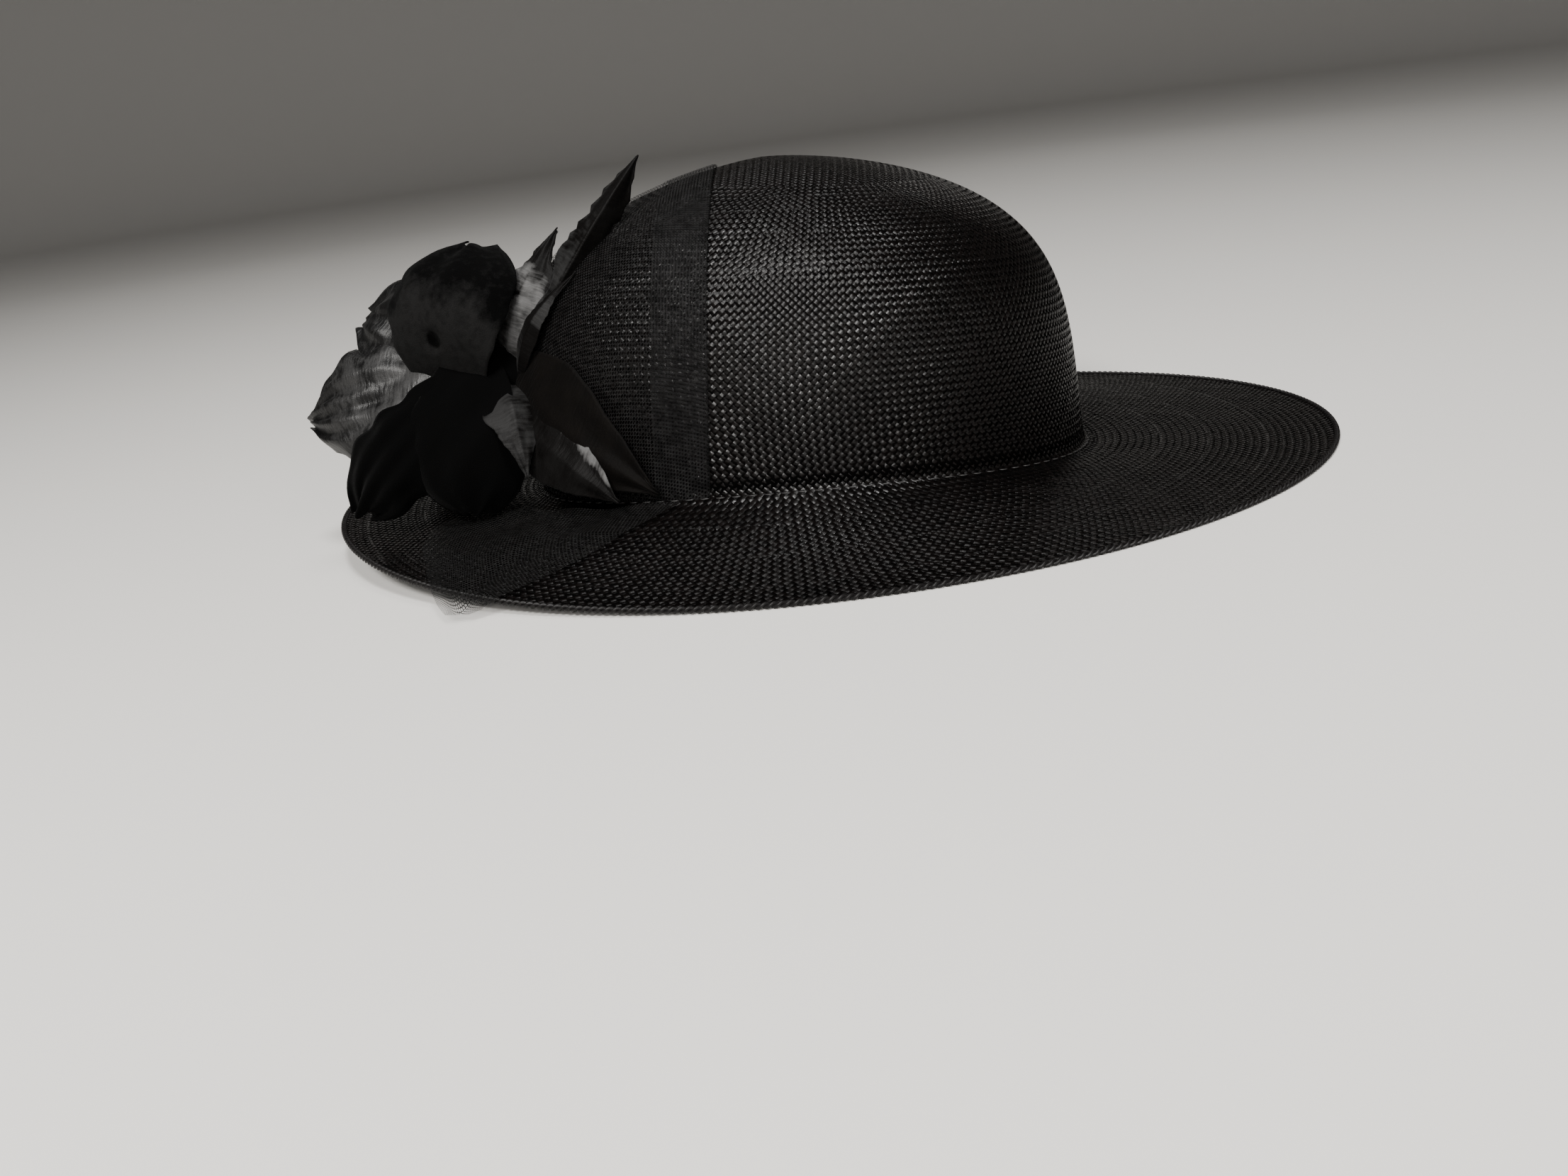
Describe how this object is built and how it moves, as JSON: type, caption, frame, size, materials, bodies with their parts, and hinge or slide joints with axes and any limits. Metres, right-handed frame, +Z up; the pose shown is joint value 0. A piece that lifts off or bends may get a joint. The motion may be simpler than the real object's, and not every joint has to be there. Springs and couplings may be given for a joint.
{
  "type": "woven straw hat with cloth rose and net",
  "caption": "Wide-brimmed black hat of woven straw with a deep round crown, a rolled brim edge, a cloth rose with leaves at the back and a fine net veil.",
  "frame": {"origin": "under the middle of the hat's box, on the plane that it rests on", "axes": "+X to the hat's front, +Y to the wearer's left, +Z up out of the crown"},
  "size_m": [0.3822, 0.292, 0.1294],
  "materials": {
    "straw": "glossy black woven straw",
    "straw_roll": "twisted black straw",
    "net": "fine matt black net",
    "velvet": "matt black velvet",
    "satin": "black satin with a soft sheen"
  },
  "bodies": {
    "root": {"crown": "straw", "brim": "straw", "brim_roll": "straw_roll", "crown_net": "net", "brim_net": "net", "rose_heart": "velvet", "petal_top": "velvet", "petal_left_upper": "satin", "petal_left_lower": "satin", "petal_low_left": "velvet", "petal_low_right": "velvet", "petal_right": "satin", "petal_far_upper": "velvet", "petal_far_middle": "satin", "petal_far_lower": "velvet", "leaf_second": "satin", "leaf_tall": "satin", "leaf_slim": "satin", "leaf_dark": "satin", "leaf_low": "satin"}
  },
  "joints": []
}
